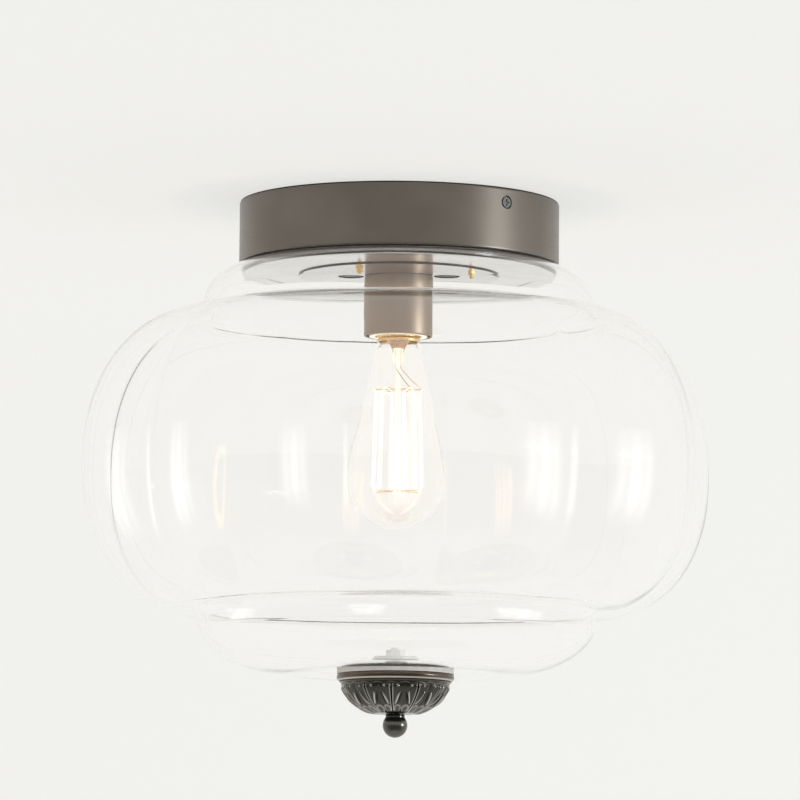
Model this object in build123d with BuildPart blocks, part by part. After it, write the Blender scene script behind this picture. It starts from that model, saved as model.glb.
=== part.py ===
from build123d import *
import os
from math import cos, radians, sin, sqrt, tan

# Flush mount ceiling light with a three-tier, eight-lobed clear glass shade, in millimetres.
# The origin is the middle of the ceiling face. +Z points up into the ceiling and the lamp hangs below it,
# so a depth is a distance below the ceiling. The photograph is taken from the -Y side.

# Fits
slide_gap = 2.0  # ceiling pan to glass neck, which passes it when the shade comes down
fit_gap = 0.3  # small gap between pieces that move past each other
thread_gap = 0.05  # radial play of a screw in its thread
overlap = 1.0  # extra depth of a cut that has to pass a face

# Canopy drum
canopy_r = 97.5
canopy_height = 38.0
canopy_wall = 1.2
ledge_width = 4.0  # from the drum's inside to the edge of its ledge

# Side screws, at an angle from +X as seen from above
side_screw_count = 2
side_screw_angle = -48.8
side_screw_depth = 9.0
side_screw_r = 1.5
side_screw_head_r = 3.2
side_screw_hole_r = 4.1
side_recess_span = 4.2
side_recess_width = 0.9
side_recess_depth = 0.8
boss_r = 5.0
boss_length = 6.0

# Ceiling pan
pan_depth = 43.2
pan_wall = 1.2

# Socket plate and its access holes
plate_r = 61.5
plate_thickness = 0.9
access_hole_r = 8.0
access_hole_spacing = 58.4

# Brass studs and nuts that hold the plate to the pan
stud_count = 2
stud_circle_r = 50.0
stud_angle = -118.5
stud_spread = 90.0  # from one stud to the next
stud_r = 1.1
stud_reach = 4.6
stud_head_r = 2.4
stud_head_height = 2.0
plate_nut_flats = 4.0
plate_nut_height = 1.6

# Mounting bar and earth screw
bar_length = 130.0
bar_width = 22.0
bar_thickness = 2.0
slot_spacing = 70.0
slot_length = 30.0
slot_width = 5.0
ground_screw_offset = 57.5
ground_screw_r = 2.0
ground_head_r = 4.0
ground_head_height = 2.6

# Nipple and its nuts
nipple_r = 5.0
nipple_bore_r = 3.5
nipple_nut_flats = 15.0
nipple_nut_height = 4.0

# Lamp socket
cup_r = 20.8
cup_wall = 1.2
cup_height = 36.9
hub_r = 9.0
hub_height = 5.6
porcelain_roof = 5.0
porcelain_recess = 0.2
shell_wall = 0.6
shell_recess = 1.5
shell_flange_r = 9.0
contact_r = 3.5
contact_height = 3.2

# Bulb
bulb_length = 140.2
bulb_r = 29.0
bulb_wall = 0.9
bulb_neck_r = 14.6
bulb_neck_length = 5.0
bulb_waist_length = 40.0
bulb_waist_r = 22.4
cap_r = 13.2
cap_wall = 0.4
cap_length = 21.5
cap_grip = 8.0
insulator_height = 2.6
insulator_top_r = 5.0
tip_r = 4.0
tip_height = 1.0
stem_r = 4.0
stem_length = 20.0
rod_r = 1.3
button_r = 2.6
support_wire_r = 0.35
filament_hooks = 6
filament_r = 0.35
filament_top_r = 14.5
filament_bottom_r = 16.0
filament_top_gap = 29.5  # from the cap's lower edge to the upper hooks
filament_height = 62.0

# Glass shade
glass_wall = 2.8
bead_swell = 2.0
bead_height = 4.5
bead_gap = 0.5
shoulder_gap = 0.8
collar_inset = 0.5
collar_r = 119.0
collar_depth = 59.5
collar_bulge = 3.0  # height of the collar's arc over its chord
upper_fold_r = 117.5
upper_fold_depth = 67.2
lobe_count = 8
lobe_angle = -77.0
lobe_r = 193.0
crease_r = 179.0
lobe_depth = 163.5
upper_fullness = 2.15  # exponent of the profile over the widest level, 2 is an ellipse
lower_fullness = 2.25  # exponent of the profile under it
lower_fold_r = 121.5
lower_fold_depth = 251.0
foot_depth = 254.0
base_ring_r = 66.0
glass_depth = 287.5
seat_r = 38.0
seat_depth = 285.0
glass_hole_r = 5.0
section_count = 13

# Ring and gasket that carry the glass on the canopy's ledge
ring_thickness = 1.5
ring_split = 6.0
gasket_thickness = 1.5

# Finial
finial_gasket_thickness = 2.6
finial_gasket_r = 35.4
finial_r = 35.6
finial_rim_height = 4.9
finial_rim_step = 1.6
finial_wall = 2.6
bowl_height = 19.0
bowl_mid_r = 27.4
bowl_mid_depth = 10.9
bowl_foot_r = 12.4
ball_r = 7.5
ball_neck_r = 5.8
ball_sink = 7.0  # from the bowl's underside to the middle of the ball
finial_stud_r = 3.0
finial_stud_grip = 7.0  # length of the stud inside the ball
finial_stud_end = 1.5  # length of the stud above its nut
finial_nut_flats = 10.0
finial_nut_height = 4.4
inner_washer_r = 13.0
inner_washer_thickness = 1.6
inner_gasket_r = 14.0
inner_gasket_thickness = 1.0

# Heights of the main faces, worked out from the sizes above
pan_floor_z = -pan_depth
plate_z = pan_floor_z - plate_thickness
cup_rim_z = plate_z - cup_height
hub_top_z = plate_z - cup_wall
porcelain_top_z = hub_top_z - hub_height
porcelain_bed_z = porcelain_top_z - porcelain_roof
porcelain_rim_z = cup_rim_z + porcelain_recess
bulb_top_z = porcelain_bed_z - contact_height - fit_gap
insulator_z = bulb_top_z - tip_height
cap_top_z = insulator_z - insulator_height
cap_rim_z = cap_top_z - cap_length
bulb_bottom_z = bulb_top_z - bulb_length
bulb_belly_z = bulb_bottom_z + bulb_r
hook_top_z = cap_rim_z - filament_top_gap
hook_bottom_z = hook_top_z - filament_height
ledge_z = canopy_wall - canopy_height
ring_top_z = ledge_z + ring_thickness
bead_z = ring_top_z + gasket_thickness
bead_top_z = bead_z + bead_height
shoulder_z = -canopy_height - shoulder_gap
glass_floor_z = glass_wall - seat_depth
finial_top_z = -seat_depth - finial_gasket_thickness
bowl_top_z = finial_top_z - finial_rim_height
bowl_foot_z = bowl_top_z - bowl_height
ball_z = bowl_foot_z - ball_sink
inner_washer_z = glass_floor_z + inner_gasket_thickness
finial_nut_z = inner_washer_z + inner_washer_thickness

# Radii that follow from the fits
canopy_inner_r = canopy_r - canopy_wall
ledge_r = canopy_inner_r - ledge_width
bead_r = ledge_r - bead_gap
neck_r = bead_r - bead_swell
neck_inner_r = neck_r - glass_wall
pan_r = neck_inner_r - slide_gap
ring_inner_r = neck_r + fit_gap
ring_outer_r = canopy_inner_r - fit_gap
collar_top_r = canopy_r - collar_inset
porcelain_r = cup_r - cup_wall - fit_gap
throat_r = cap_r - cap_wall - fit_gap
stem_flare_r = throat_r - bulb_wall - thread_gap
shell_r = cap_r + fit_gap + shell_wall
boss_seat = sqrt(canopy_inner_r**2 - boss_r**2)
screw_head_seat = boss_seat + thread_gap


def polar(radius, angle):
    """Point at a radius and an angle in degrees from +X."""
    return (radius * cos(radians(angle)), radius * sin(radians(angle)))


def side_plane(angle, distance):
    """Plane across a side screw's axis, facing outwards, at a distance from the lamp's axis."""
    x, y = polar(1.0, angle)
    return Plane(origin=(x * distance, y * distance, -side_screw_depth), x_dir=(0, 0, 1), z_dir=(x, y, 0))


side_angles = [side_screw_angle + 360.0 * turn / side_screw_count for turn in range(side_screw_count)]

# Mounting bar: lies on the ceiling, slotted for the screws of the ceiling box
with BuildPart() as mounting_bar:
    with BuildSketch(Plane.XY.offset(-bar_thickness)):
        RectangleRounded(bar_length, bar_width, bar_width / 4)
        with GridLocations(slot_spacing, 0, 2, 1):
            SlotOverall(slot_length, slot_width, mode=Mode.SUBTRACT)
        Circle(nipple_r + thread_gap, mode=Mode.SUBTRACT)
        with Locations((-ground_screw_offset, 0)):
            Circle(ground_screw_r + thread_gap, mode=Mode.SUBTRACT)
    extrude(amount=bar_thickness)

# Earth screw: head under the bar, shank in its tapped hole
with BuildPart() as ground_screw:
    with BuildSketch(Plane.XY.offset(-bar_thickness)):
        with Locations((-ground_screw_offset, 0)):
            Circle(ground_screw_r)
    extrude(amount=bar_thickness - fit_gap)
    with BuildSketch(Plane.XY.offset(-bar_thickness)):
        with Locations((-ground_screw_offset, 0)):
            Circle(ground_head_r)
            Rectangle(2 * ground_head_r, ground_screw_r / 2, mode=Mode.SUBTRACT)
    extrude(amount=-ground_head_height)
    with BuildSketch(Plane.XY.offset(-bar_thickness)):
        with Locations((-ground_screw_offset, 0)):
            Circle(ground_head_r)
    extrude(amount=-ground_head_height / 2)

# Nipple: hollow threaded tube that hangs the pan and the socket from the bar
with BuildPart() as nipple:
    with BuildSketch(Plane.XY.offset(porcelain_top_z)):
        Circle(nipple_r)
        Circle(nipple_bore_r, mode=Mode.SUBTRACT)
    extrude(amount=-porcelain_top_z)

# Nuts on the nipple: one under the bar, one on the pan's floor
with BuildPart() as nipple_nuts:
    for nut_z in (-bar_thickness - nipple_nut_height, pan_floor_z + pan_wall):
        with BuildSketch(Plane.XY.offset(nut_z)):
            RegularPolygon(nipple_nut_flats / 2, 6, major_radius=False)
            Circle(nipple_r + thread_gap, mode=Mode.SUBTRACT)
        extrude(amount=nipple_nut_height)

# Ceiling pan: open towards the ceiling, its floor shows inside the glass collar
with BuildPart() as ceiling_pan:
    with BuildSketch(Plane.XY.offset(pan_floor_z)):
        Circle(pan_r)
    extrude(amount=pan_depth)
    with BuildSketch(Plane.XY.offset(pan_floor_z + pan_wall)):
        Circle(pan_r - pan_wall)
    extrude(amount=pan_depth, mode=Mode.SUBTRACT)
    with BuildSketch(Plane.XY.offset(pan_floor_z)):
        Circle(nipple_r + thread_gap)
        with GridLocations(access_hole_spacing, 0, 2, 1):
            Circle(access_hole_r)
        with PolarLocations(stud_circle_r, stud_count, stud_angle, stud_count * stud_spread):
            Circle(stud_r + thread_gap)
    extrude(amount=pan_wall + overlap, mode=Mode.SUBTRACT)

# Socket plate: carries the socket under the pan, with holes for reaching the ceiling screws
with BuildPart() as socket_plate:
    with BuildSketch(Plane.XY.offset(plate_z)):
        Circle(plate_r)
        Circle(nipple_r + thread_gap, mode=Mode.SUBTRACT)
        with GridLocations(access_hole_spacing, 0, 2, 1):
            Circle(access_hole_r, mode=Mode.SUBTRACT)
        with PolarLocations(stud_circle_r, stud_count, stud_angle, stud_count * stud_spread):
            Circle(stud_r + thread_gap, mode=Mode.SUBTRACT)
    extrude(amount=plate_thickness)

# Plate studs: heads on the pan's floor, threads reaching down through the plate
with BuildPart() as plate_studs:
    with BuildSketch(Plane.XY.offset(pan_floor_z + pan_wall)):
        with PolarLocations(stud_circle_r, stud_count, stud_angle, stud_count * stud_spread):
            Circle(stud_head_r)
    extrude(amount=stud_head_height)
    with BuildSketch(Plane.XY.offset(plate_z - stud_reach)):
        with PolarLocations(stud_circle_r, stud_count, stud_angle, stud_count * stud_spread):
            Circle(stud_r)
    extrude(amount=stud_reach + plate_thickness + pan_wall)

# Plate nuts: against the plate's underside
with BuildPart() as plate_nuts:
    with BuildSketch(Plane.XY.offset(plate_z - plate_nut_height)):
        with PolarLocations(stud_circle_r, stud_count, stud_angle, stud_count * stud_spread):
            RegularPolygon(plate_nut_flats / 2, 6, major_radius=False)
        with PolarLocations(stud_circle_r, stud_count, stud_angle, stud_count * stud_spread):
            Circle(stud_r + thread_gap, mode=Mode.SUBTRACT)
    extrude(amount=plate_nut_height)

# Socket cup: turned metal cup, open below
with BuildPart() as socket_cup:
    with BuildSketch(Plane.XY.offset(cup_rim_z)):
        Circle(cup_r)
    extrude(amount=cup_height)
    with BuildSketch(Plane.XY.offset(cup_rim_z)):
        Circle(cup_r - cup_wall)
    extrude(amount=cup_height - cup_wall, mode=Mode.SUBTRACT)
    with BuildSketch(Plane.XY.offset(hub_top_z)):
        Circle(nipple_r + thread_gap)
    extrude(amount=cup_wall + overlap, mode=Mode.SUBTRACT)

# Socket porcelain: its hub screws on the nipple and clamps the cup, its skirt holds the screw shell
with BuildPart() as socket_porcelain:
    with BuildSketch(Plane.XY.offset(porcelain_top_z)):
        Circle(hub_r)
        Circle(nipple_r + thread_gap, mode=Mode.SUBTRACT)
    extrude(amount=hub_height)
    with BuildSketch(Plane.XY.offset(porcelain_bed_z)):
        Circle(porcelain_r)
        Circle(nipple_bore_r - thread_gap, mode=Mode.SUBTRACT)
    extrude(amount=porcelain_roof)
    with BuildSketch(Plane.XY.offset(porcelain_rim_z)):
        Circle(porcelain_r)
        Circle(shell_r + thread_gap, mode=Mode.SUBTRACT)
    extrude(amount=porcelain_bed_z - porcelain_rim_z)

# Screw shell: brass tube with a flange against the porcelain's bed
with BuildPart() as screw_shell:
    with BuildSketch(Plane.XY.offset(porcelain_rim_z + shell_recess)):
        Circle(shell_r)
        Circle(shell_r - shell_wall, mode=Mode.SUBTRACT)
    extrude(amount=porcelain_bed_z - porcelain_rim_z - shell_recess)
    with BuildSketch(Plane.XY.offset(porcelain_bed_z - shell_wall)):
        Circle(shell_r)
        Circle(shell_flange_r, mode=Mode.SUBTRACT)
    extrude(amount=shell_wall)

# Centre contact: brass button under the porcelain's bed
with BuildPart() as centre_contact:
    with BuildSketch(Plane.XY.offset(porcelain_bed_z - contact_height)):
        Circle(contact_r)
    extrude(amount=contact_height)

# Bulb base: screw cap with its dark insulator and end contact
with BuildPart() as bulb_base:
    with BuildSketch(Plane.XY.offset(cap_rim_z)):
        Circle(cap_r)
    extrude(amount=cap_length)
    with BuildSketch(Plane.XY.offset(cap_rim_z)):
        Circle(cap_r - cap_wall)
    extrude(amount=cap_length - cap_wall, mode=Mode.SUBTRACT)

with BuildPart() as bulb_insulator:
    with BuildSketch(Plane.XZ):
        with BuildLine():
            Polyline(
                (0, cap_top_z),
                (cap_r - cap_wall, cap_top_z),
                (insulator_top_r, insulator_z),
                (0, insulator_z),
                close=True,
            )
        make_face()
    revolve(axis=Axis.Z)

with BuildPart() as bulb_tip:
    with BuildSketch(Plane.XY.offset(insulator_z)):
        Circle(tip_r)
    extrude(amount=tip_height)


def bulb_outline(wall):
    """Half section of the bulb, set in by a wall: neck in the cap, pear shape, round end."""
    inner_r = throat_r - wall
    neck_z = cap_rim_z - bulb_neck_length
    with BuildSketch(Plane.XZ) as outline:
        with BuildLine():
            Polyline(
                (0, cap_rim_z + cap_grip),
                (inner_r, cap_rim_z + cap_grip),
                (inner_r, cap_rim_z - fit_gap),
                (bulb_neck_r - wall, neck_z),
            )
            Spline(
                (bulb_neck_r - wall, neck_z),
                (bulb_waist_r - wall, neck_z - bulb_waist_length),
                (bulb_r - wall, bulb_belly_z),
                tangents=((0.1, -1.0), (0.0, -1.0)),
            )
            RadiusArc((bulb_r - wall, bulb_belly_z), (0, bulb_bottom_z + wall), bulb_r - wall)
            Line((0, bulb_bottom_z + wall), (0, cap_rim_z + cap_grip))
        make_face()
    return outline.sketch


# Bulb glass: a thin pear-shaped envelope, cemented in the cap
with BuildPart() as bulb_glass:
    revolve(bulb_outline(0), axis=Axis.Z)
    revolve(bulb_outline(bulb_wall), axis=Axis.Z, mode=Mode.SUBTRACT)

# Bulb stem: flared glass foot in the neck, then the rod with a button for each row of hooks
with BuildPart() as bulb_stem:
    with BuildSketch(Plane.XZ):
        with BuildLine():
            Polyline(
                (0, cap_rim_z + cap_grip / 2),
                (stem_flare_r, cap_rim_z + cap_grip / 2),
                (stem_r, cap_rim_z - fit_gap),
                (stem_r / 2, cap_rim_z - stem_length),
                (rod_r, cap_rim_z - stem_length),
                (rod_r, hook_bottom_z),
                (0, hook_bottom_z),
                close=True,
            )
        make_face()
    revolve(axis=Axis.Z)
    for button_z in (hook_top_z, hook_bottom_z):
        with Locations((0, 0, button_z)):
            Sphere(button_r)


def hook_points():
    """Points where the filament turns, by turns in the upper and the lower row."""
    points = []
    for hook in range(filament_hooks):
        angle = 360.0 * hook / filament_hooks
        points.append((*polar(filament_top_r, angle), hook_top_z))
        points.append((*polar(filament_bottom_r, angle + 180.0 / filament_hooks), hook_bottom_z))
    return points


def rod_between(start, end):
    """Location for a cylinder from one point to another, with its length."""
    run = Vector(end) - Vector(start)
    middle = Vector(start) + run / 2
    return Plane(origin=middle, z_dir=run).location, run.length


# Support wires: one from a button on the stem to each turn of the filament
with BuildPart() as bulb_supports:
    for x, y, z in hook_points():
        reach = sqrt(x**2 + y**2)
        inner = (button_r + fit_gap / 3) / reach
        outer = (reach - filament_r - fit_gap) / reach
        place, length = rod_between((x * inner, y * inner, z), (x * outer, y * outer, z))
        with Locations(place):
            Cylinder(support_wire_r, length)

# Filament: one strand up and down between the hooks, with a small round at each turn
with BuildPart() as filament:
    turns = hook_points()
    for start, end in zip(turns, turns[1:]):
        place, length = rod_between(start, end)
        with Locations(place):
            Cylinder(filament_r, length)
    with Locations(*turns):
        Sphere(filament_r * 1.2)

# Canopy: drum with a ledge at its bottom and a hole for each side screw
with BuildPart() as canopy:
    with BuildSketch(Plane.XY.offset(-canopy_height)):
        Circle(canopy_r)
        Circle(canopy_inner_r, mode=Mode.SUBTRACT)
    extrude(amount=canopy_height)
    with BuildSketch(Plane.XY.offset(-canopy_height)):
        Circle(canopy_r)
        Circle(ledge_r, mode=Mode.SUBTRACT)
    extrude(amount=canopy_wall)
    for angle in side_angles:
        with BuildSketch(side_plane(angle, boss_seat)):
            Circle(side_screw_hole_r)
        extrude(amount=canopy_r - boss_seat + overlap, mode=Mode.SUBTRACT)

# Screw bosses: tapped bosses fixed inside the drum
with BuildPart() as screw_bosses:
    for angle in side_angles:
        with BuildSketch(side_plane(angle, boss_seat)):
            Circle(boss_r)
            Circle(side_screw_r + thread_gap, mode=Mode.SUBTRACT)
        extrude(amount=-boss_length)


def side_screw(angle):
    """Side screw: flush head with a cross recess, its point against the ceiling pan."""
    with BuildPart() as screw:
        with BuildSketch(side_plane(angle, screw_head_seat)):
            Circle(side_screw_head_r)
        extrude(amount=canopy_r - screw_head_seat)
        with BuildSketch(side_plane(angle, screw_head_seat)):
            Circle(side_screw_r)
        extrude(amount=-(screw_head_seat - pan_r - fit_gap))
        with BuildSketch(side_plane(angle, canopy_r)):
            Rectangle(side_recess_span, side_recess_width)
            Rectangle(side_recess_width, side_recess_span)
        extrude(amount=-side_recess_depth, mode=Mode.SUBTRACT)
    return screw


side_screw_front, side_screw_rear = [side_screw(angle) for angle in side_angles]

# Retaining ring: split, slipped round the neck under the glass bead and laid on the ledge
with BuildPart() as retaining_ring:
    with BuildSketch(Plane.XY.offset(ledge_z)):
        Circle(ring_outer_r)
        Circle(ring_inner_r, mode=Mode.SUBTRACT)
        with Locations((0, ring_outer_r)):
            Rectangle(ring_split, ring_outer_r - ring_inner_r + canopy_wall + ring_split, mode=Mode.SUBTRACT)
    extrude(amount=ring_thickness)

# Neck gasket: soft ring between the retaining ring and the bead
with BuildPart() as neck_gasket:
    with BuildSketch(Plane.XY.offset(ring_top_z)):
        Circle(ring_outer_r)
        Circle(ring_inner_r, mode=Mode.SUBTRACT)
    extrude(amount=gasket_thickness)


def lobed_face(crest, crease, depth):
    """Level section of the lobed body: one arc per lobe, the arcs meeting at the creases."""
    half_lobe = 180.0 / lobe_count
    with BuildSketch(Plane.XY.offset(-depth)) as section:
        with BuildLine():
            for lobe in range(lobe_count):
                middle = lobe_angle + 2 * half_lobe * lobe
                ThreePointArc(
                    polar(crease, middle - half_lobe), polar(crest, middle), polar(crease, middle + half_lobe)
                )
        make_face()
    return section.sketch


def lobed_sections(inset):
    """Sections of the lobed body, set in by a wall, on two quarter curves that meet at the widest level."""
    sections = []
    for step in range(section_count):
        turn = radians(90.0 - 180.0 * step / (section_count - 1))
        if turn > 0:
            fold_r = upper_fold_r
            fold_height = lobe_depth - upper_fold_depth - inset
            power = 2.0 / upper_fullness
        else:
            fold_r = lower_fold_r
            fold_height = lobe_depth - lower_fold_depth + inset
            power = 2.0 / lower_fullness
        out = abs(cos(turn)) ** power
        crest = fold_r + (lobe_r - inset - fold_r) * out
        crease = fold_r + (crease_r - inset - fold_r) * out
        sections.append(lobed_face(crest, crease, lobe_depth - fold_height * abs(sin(turn)) ** power))
    return sections


def collar_outline(inset):
    """Half section of the neck and the round collar down to the upper fold, set in by a wall."""
    neck = neck_r - inset
    past = overlap if inset else 0
    top_z = bead_top_z + past
    fold_z = -upper_fold_depth - inset - past
    miter = inset * tan(radians(22.5))
    shoulder = (collar_top_r - miter, shoulder_z - inset)
    widest = (collar_r - inset, -collar_depth - miter)
    with BuildSketch(Plane.XZ) as outline:
        with BuildLine():
            Polyline((0, top_z), (neck, top_z), (neck, shoulder_z - inset), shoulder)
            SagittaArc(shoulder, widest, collar_bulge)
            Polyline(widest, (upper_fold_r - inset, fold_z), (0, fold_z), (0, top_z))
        make_face()
    return outline.sketch


def foot_outline(inset):
    """Half section of the shallow foot under the lower fold, set in by a wall, with its raised seat."""
    top_z = -lower_fold_depth + inset + (overlap if inset else 0)
    foot_r = lower_fold_r - inset
    ring_z = inset - glass_depth
    seat_z = inset - seat_depth
    with BuildSketch(Plane.XZ) as outline:
        with BuildLine():
            Polyline((0, seat_z), (0, top_z), (foot_r, top_z), (foot_r, -foot_depth))
            EllipticalCenterArc(
                (base_ring_r, -foot_depth),
                foot_r - base_ring_r,
                -foot_depth - ring_z,
                start_angle=-90,
                arc_size=90,
            )
            Polyline((base_ring_r, ring_z), (seat_r, seat_z), (0, seat_z))
        make_face()
    return outline.sketch


# Glass shade: collar, lobed body and foot in one wall, with a bead on top and a hole for the finial's stud
with BuildPart() as glass_shade:
    revolve(collar_outline(0), axis=Axis.Z)
    loft(lobed_sections(0))
    revolve(foot_outline(0), axis=Axis.Z)
    with BuildSketch(Plane.XZ):
        with BuildLine():
            Polyline((neck_inner_r, bead_z), (bead_r, bead_z), (bead_r, bead_top_z - bead_swell))
            RadiusArc((bead_r, bead_top_z - bead_swell), (neck_r, bead_top_z), -bead_swell)
            Polyline((neck_r, bead_top_z), (neck_inner_r, bead_top_z), (neck_inner_r, bead_z))
        make_face()
    revolve(axis=Axis.Z)
    revolve(collar_outline(glass_wall), axis=Axis.Z, mode=Mode.SUBTRACT)
    loft(lobed_sections(glass_wall), mode=Mode.SUBTRACT)
    revolve(foot_outline(glass_wall), axis=Axis.Z, mode=Mode.SUBTRACT)
    with BuildSketch(Plane.XY.offset(-seat_depth - overlap)):
        Circle(glass_hole_r)
    extrude(amount=glass_wall + 2 * overlap, mode=Mode.SUBTRACT)

# Finial gasket: pale ring between the glass and the finial's rim
with BuildPart() as finial_gasket:
    with BuildSketch(Plane.XY.offset(finial_top_z)):
        Circle(finial_gasket_r)
        Circle(glass_hole_r, mode=Mode.SUBTRACT)
    extrude(amount=finial_gasket_thickness)

# Finial cup: plain rim over a hollow bowl
with BuildPart() as finial_cup:
    rim_foot_r = finial_r - finial_rim_step
    bowl_floor_z = bowl_foot_z + finial_wall
    with BuildSketch(Plane.XZ):
        with BuildLine():
            Polyline((finial_r, finial_top_z), (finial_r, bowl_top_z), (rim_foot_r, bowl_top_z))
            ThreePointArc(
                (rim_foot_r, bowl_top_z),
                (bowl_mid_r, bowl_top_z - bowl_mid_depth),
                (bowl_foot_r, bowl_foot_z),
            )
            Polyline(
                (bowl_foot_r, bowl_foot_z),
                (finial_stud_r + thread_gap, bowl_foot_z),
                (finial_stud_r + thread_gap, bowl_floor_z),
                (bowl_foot_r - finial_wall, bowl_floor_z),
            )
            ThreePointArc(
                (bowl_foot_r - finial_wall, bowl_floor_z),
                (bowl_mid_r - finial_wall, bowl_top_z - bowl_mid_depth + finial_wall),
                (rim_foot_r - finial_wall, bowl_top_z),
            )
            Polyline(
                (rim_foot_r - finial_wall, bowl_top_z),
                (rim_foot_r - finial_wall, finial_top_z),
                (finial_r, finial_top_z),
            )
        make_face()
    revolve(axis=Axis.Z)

# Finial ball: nut in the shape of a ball with a short neck
with BuildPart() as finial_ball:
    with Locations((0, 0, ball_z)):
        Sphere(ball_r)
    with BuildSketch(Plane.XY.offset(ball_z)):
        Circle(ball_neck_r)
    extrude(amount=ball_sink - fit_gap)
    with BuildSketch(Plane.XY.offset(bowl_foot_z - finial_stud_grip - fit_gap)):
        Circle(finial_stud_r + thread_gap)
    extrude(amount=finial_stud_grip + ball_sink, mode=Mode.SUBTRACT)
    split(bisect_by=Plane.XY.offset(bowl_foot_z - fit_gap), keep=Keep.BOTTOM)

# Finial stud: threaded rod from the ball up through the cup and the glass to its nut
with BuildPart() as finial_stud:
    with BuildSketch(Plane.XY.offset(bowl_foot_z - finial_stud_grip)):
        Circle(finial_stud_r)
    extrude(amount=finial_nut_z + finial_nut_height + finial_stud_end - bowl_foot_z + finial_stud_grip)

# Gasket, washer and nut that hold the stud inside the glass
with BuildPart() as inner_gasket:
    with BuildSketch(Plane.XY.offset(glass_floor_z)):
        Circle(inner_gasket_r)
        Circle(finial_stud_r + thread_gap, mode=Mode.SUBTRACT)
    extrude(amount=inner_gasket_thickness)

with BuildPart() as inner_washer:
    with BuildSketch(Plane.XY.offset(inner_washer_z)):
        Circle(inner_washer_r)
        Circle(finial_stud_r + thread_gap, mode=Mode.SUBTRACT)
    extrude(amount=inner_washer_thickness)

with BuildPart() as finial_nut:
    with BuildSketch(Plane.XY.offset(finial_nut_z)):
        RegularPolygon(finial_nut_flats / 2, 6, major_radius=False)
        Circle(finial_stud_r + thread_gap, mode=Mode.SUBTRACT)
    extrude(amount=finial_nut_height)

pieces = {
    "mounting_bar": mounting_bar,
    "ground_screw": ground_screw,
    "nipple": nipple,
    "nipple_nuts": nipple_nuts,
    "ceiling_pan": ceiling_pan,
    "socket_plate": socket_plate,
    "plate_studs": plate_studs,
    "plate_nuts": plate_nuts,
    "socket_cup": socket_cup,
    "socket_porcelain": socket_porcelain,
    "screw_shell": screw_shell,
    "centre_contact": centre_contact,
    "bulb_base": bulb_base,
    "bulb_insulator": bulb_insulator,
    "bulb_tip": bulb_tip,
    "bulb_glass": bulb_glass,
    "bulb_stem": bulb_stem,
    "bulb_supports": bulb_supports,
    "filament": filament,
    "canopy": canopy,
    "screw_bosses": screw_bosses,
    "side_screw_front": side_screw_front,
    "side_screw_rear": side_screw_rear,
    "retaining_ring": retaining_ring,
    "neck_gasket": neck_gasket,
    "glass_shade": glass_shade,
    "finial_gasket": finial_gasket,
    "finial_cup": finial_cup,
    "finial_ball": finial_ball,
    "finial_stud": finial_stud,
    "inner_gasket": inner_gasket,
    "inner_washer": inner_washer,
    "finial_nut": finial_nut,
}

os.makedirs("parts", exist_ok=True)
for name, piece in pieces.items():
    piece.part.label = name
    export_step(piece.part, f"parts/{name}.step")
drop = ball_r - ball_z
print(f"{len(pieces)} pieces, {drop:.1f} mm from the ceiling to the ball's end, {2 * lobe_r:.0f} mm wide")
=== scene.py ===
# %% [markdown]
# # A flush mount ceiling light in clear glass
#
# A low round canopy sits on the ceiling. A clear glass shade hangs from its mouth in three tiers: a round
# collar, a body of eight soft lobes and a shallow foot. One socket holds a pear-shaped bulb with a cage of
# filament, and a dark finial with a leaf relief closes the glass below. The CAD model is loaded first and
# never moved. It is the frame that every new piece is fitted to, in metres, with the ceiling at height 0.

# %% Load the frame
import math

import bmesh
import bpy
from mathutils import Matrix, Quaternion, Vector


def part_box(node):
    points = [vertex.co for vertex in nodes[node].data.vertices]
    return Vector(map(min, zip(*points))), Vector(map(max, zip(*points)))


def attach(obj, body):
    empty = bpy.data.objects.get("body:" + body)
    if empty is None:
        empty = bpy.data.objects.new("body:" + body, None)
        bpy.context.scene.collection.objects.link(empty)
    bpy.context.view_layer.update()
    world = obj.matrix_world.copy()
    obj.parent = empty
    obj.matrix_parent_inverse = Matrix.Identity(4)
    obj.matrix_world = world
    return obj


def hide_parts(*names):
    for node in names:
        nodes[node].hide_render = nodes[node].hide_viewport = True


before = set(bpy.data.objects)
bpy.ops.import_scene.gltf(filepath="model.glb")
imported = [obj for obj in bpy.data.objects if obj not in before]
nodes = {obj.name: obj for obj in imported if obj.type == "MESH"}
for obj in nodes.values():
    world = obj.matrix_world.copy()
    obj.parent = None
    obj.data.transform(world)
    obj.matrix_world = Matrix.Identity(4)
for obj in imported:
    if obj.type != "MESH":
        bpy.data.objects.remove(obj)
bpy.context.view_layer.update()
mm = 0.001

# %% [markdown]
# ## Camera
#
# The picture is taken from well below the ceiling, looking up a little, with a long lens: the near edges of
# the canopy stand higher than its ends. A long lens far away keeps the ellipses as flat as they are there.
# The camera is turned by a fraction of a degree, as a hand-held one is.

# %% Camera
scene = bpy.context.scene
scene.view_settings.view_transform = "Standard"
camera = bpy.data.objects.new("camera", bpy.data.cameras.new("camera"))
scene.collection.objects.link(camera)
camera.data.sensor_width = 36
camera.data.lens = 286.6
camera.data.clip_end = 30
camera.location = (0, -3.85, -0.566)
aim = Vector((0.0013, 0, -0.1203))
camera.rotation_mode = "QUATERNION"
camera.rotation_quaternion = (aim - camera.location).to_track_quat("-Z", "Y")
camera.rotation_quaternion @= Quaternion((0, 0, 1), math.radians(0.5))
scene.camera = camera
print(f"camera {(aim - camera.location).length:.2f} m away")

# %% [markdown]
# ## Node helpers
#
# Room, lamps and finishes are small graphs of nodes, and the same few nodes come up again and again. Each
# helper adds one of them and gives back its result, so that a graph reads like a formula.

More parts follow.
